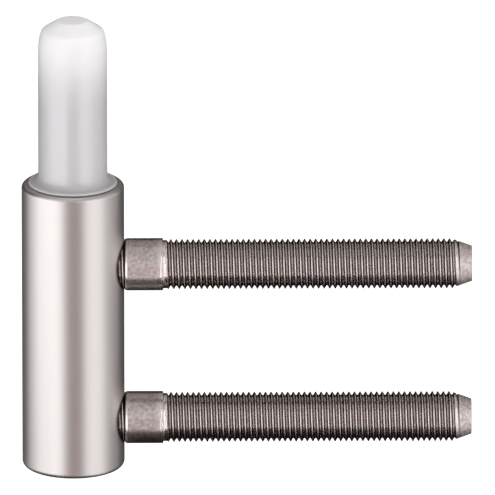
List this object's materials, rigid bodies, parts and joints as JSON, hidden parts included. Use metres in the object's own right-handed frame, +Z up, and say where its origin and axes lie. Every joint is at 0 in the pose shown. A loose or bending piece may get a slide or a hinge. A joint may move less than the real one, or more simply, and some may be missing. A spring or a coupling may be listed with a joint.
{
  "type": "drill-in door hinge frame part",
  "caption": "Frame half of a drill-in door hinge: a round plated steel barrel with an upright plastic-sleeved pin and threaded studs that screw sideways into the door frame.",
  "frame": {"origin": "centre of the barrel's flat base, on the hinge axis", "axes": "+Z up the hinge axis towards the sleeved pin, +X along the studs towards the door frame, +Y completes a right-handed frame"},
  "size_m": [0.0808, 0.0184, 0.0838],
  "materials": {
    "barrel_plating": "satin nickel-plated steel",
    "pin_steel": "ground steel",
    "sleeve_plastic": "natural moulded polyamide, slightly translucent",
    "stud_plating": "rolled and nickel-plated steel, dull"
  },
  "bodies": {
    "root": {"barrel": "barrel_plating", "hinge_pin": "pin_steel", "bearing_sleeve": "sleeve_plastic", "upper_stud": "stud_plating", "lower_stud": "stud_plating"}
  },
  "joints": []
}
